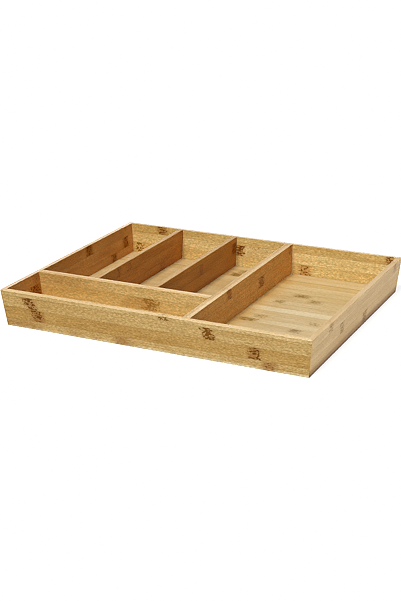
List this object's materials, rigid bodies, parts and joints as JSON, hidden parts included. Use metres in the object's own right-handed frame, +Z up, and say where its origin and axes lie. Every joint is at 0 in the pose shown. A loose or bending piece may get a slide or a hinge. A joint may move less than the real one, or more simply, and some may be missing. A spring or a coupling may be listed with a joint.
{
  "type": "cutlery tray",
  "caption": "Low open bamboo tray with outward-leaning mitred walls, a grooved-in bottom panel and upright dividers that form slots for cutlery.",
  "frame": {"origin": "middle of the tray's footprint, on the surface that it stands on", "axes": "+X along the long side towards the large compartment, +Y from the front wall to the back wall, +Z up"},
  "size_m": [0.4298, 0.3498, 0.05],
  "materials": {
    "bamboo_wall": "satin",
    "bamboo_divider": "satin",
    "bamboo_panel": "satin"
  },
  "bodies": {
    "root": {"front_wall": "bamboo_wall", "back_wall": "bamboo_wall", "left_wall": "bamboo_wall", "right_wall": "bamboo_wall", "long_divider": "bamboo_divider", "cross_divider": "bamboo_divider", "short_divider_left": "bamboo_divider", "short_divider_right": "bamboo_divider", "bottom_panel": "bamboo_panel"}
  },
  "joints": []
}
